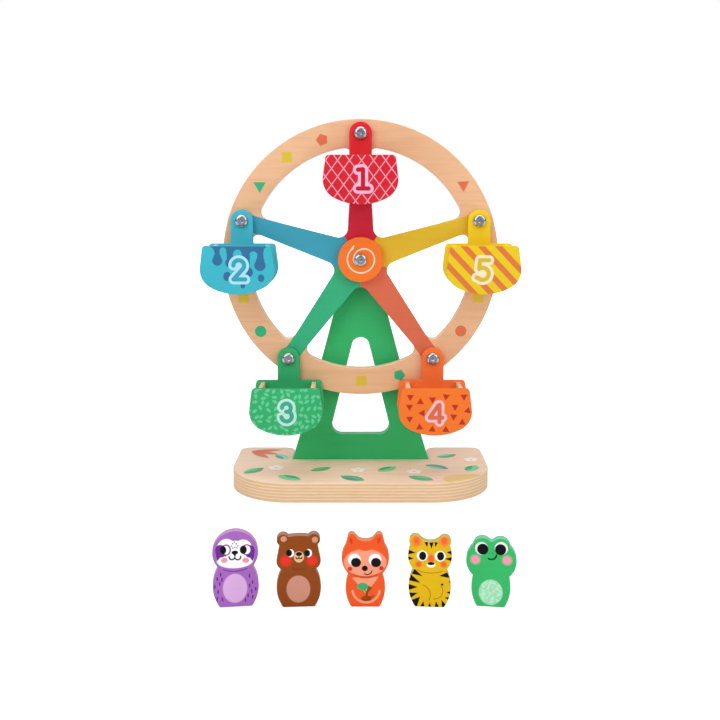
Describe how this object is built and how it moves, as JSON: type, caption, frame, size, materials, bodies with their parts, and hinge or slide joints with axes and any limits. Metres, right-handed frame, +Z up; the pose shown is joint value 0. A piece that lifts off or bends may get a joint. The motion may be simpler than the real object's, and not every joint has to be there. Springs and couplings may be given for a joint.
{
  "type": "toy ferris wheel",
  "caption": "Free-standing painted plywood toy Ferris wheel turned by hand, with swinging numbered gondolas hung on its rim and flat animal riders standing in a row before it.",
  "frame": {"origin": "centre of the base board's outline, on its underside", "axes": "+X to the right seen from the front, +Y away from the viewer along the axle, +Z up"},
  "size_m": [0.228, 0.2724, 0.275],
  "materials": {
    "base_plywood": "satin",
    "bare_plywood": "satin",
    "bright_steel": "polished",
    "zinc_steel": "satin",
    "paint_green": "painted satin",
    "paint_red": "painted satin",
    "paint_turquoise": "painted satin",
    "paint_leaf_green": "painted satin",
    "paint_orange": "painted satin",
    "paint_yellow": "painted satin",
    "paint_lilac": "painted satin",
    "paint_brown": "painted satin",
    "paint_fox_orange": "painted satin",
    "paint_gold": "painted satin"
  },
  "bodies": {
    "stand": {"base_board": "base_plywood", "stand_frame": "paint_green", "axle_bolt": "bright_steel", "axle_lock_nut": "zinc_steel", "axle_cap_nut": "zinc_steel"},
    "wheel": {"wheel": "bare_plywood", "hub_disc": "paint_orange", "pivot_bolts": "bright_steel"},
    "gondola_1": {"gondola_1_back": "paint_red", "gondola_1_front": "paint_red", "gondola_1_slat_left": "bare_plywood", "gondola_1_slat_right": "bare_plywood", "gondola_1_floor": "bare_plywood"},
    "gondola_2": {"gondola_2_back": "paint_turquoise", "gondola_2_front": "paint_turquoise", "gondola_2_slat_left": "bare_plywood", "gondola_2_slat_right": "bare_plywood", "gondola_2_floor": "bare_plywood"},
    "gondola_3": {"gondola_3_back": "paint_leaf_green", "gondola_3_front": "paint_leaf_green", "gondola_3_slat_left": "bare_plywood", "gondola_3_slat_right": "bare_plywood", "gondola_3_floor": "bare_plywood"},
    "gondola_4": {"gondola_4_back": "paint_orange", "gondola_4_front": "paint_orange", "gondola_4_slat_left": "bare_plywood", "gondola_4_slat_right": "bare_plywood", "gondola_4_floor": "bare_plywood"},
    "gondola_5": {"gondola_5_back": "paint_yellow", "gondola_5_front": "paint_yellow", "gondola_5_slat_left": "bare_plywood", "gondola_5_slat_right": "bare_plywood", "gondola_5_floor": "bare_plywood"},
    "rider_sloth": {"rider_sloth": "paint_lilac"},
    "rider_bear": {"rider_bear": "paint_brown"},
    "rider_fox": {"rider_fox": "paint_fox_orange"},
    "rider_tiger": {"rider_tiger": "paint_gold"},
    "rider_frog": {"rider_frog": "paint_leaf_green"}
  },
  "joints": [
    {"name": "wheel_spin", "type": "hinge", "parent": "stand", "child": "wheel", "pos_m": [0, 0.0015, 0.1725], "axis": [0, 1, 0], "continuous": true},
    {"name": "gondola_1_swing", "type": "hinge", "parent": "wheel", "child": "gondola_1", "pos_m": [0, -0.005, 0.2645], "axis": [0, 1, 0], "continuous": true},
    {"name": "gondola_2_swing", "type": "hinge", "parent": "wheel", "child": "gondola_2", "pos_m": [-0.0875, -0.005, 0.20093], "axis": [0, 1, 0], "continuous": true},
    {"name": "gondola_3_swing", "type": "hinge", "parent": "wheel", "child": "gondola_3", "pos_m": [-0.05408, -0.005, 0.09807], "axis": [0, 1, 0], "continuous": true},
    {"name": "gondola_4_swing", "type": "hinge", "parent": "wheel", "child": "gondola_4", "pos_m": [0.05408, -0.005, 0.09807], "axis": [0, 1, 0], "continuous": true},
    {"name": "gondola_5_swing", "type": "hinge", "parent": "wheel", "child": "gondola_5", "pos_m": [0.0875, -0.005, 0.20093], "axis": [0, 1, 0], "continuous": true},
    {"name": "rider_sloth_lift", "type": "slide", "parent": "stand", "child": "rider_sloth", "axis": [0, 0, 1], "range_m": [0, 0.1]},
    {"name": "rider_bear_lift", "type": "slide", "parent": "stand", "child": "rider_bear", "axis": [0, 0, 1], "range_m": [0, 0.1]},
    {"name": "rider_fox_lift", "type": "slide", "parent": "stand", "child": "rider_fox", "axis": [0, 0, 1], "range_m": [0, 0.1]},
    {"name": "rider_tiger_lift", "type": "slide", "parent": "stand", "child": "rider_tiger", "axis": [0, 0, 1], "range_m": [0, 0.1]},
    {"name": "rider_frog_lift", "type": "slide", "parent": "stand", "child": "rider_frog", "axis": [0, 0, 1], "range_m": [0, 0.1]}
  ]
}
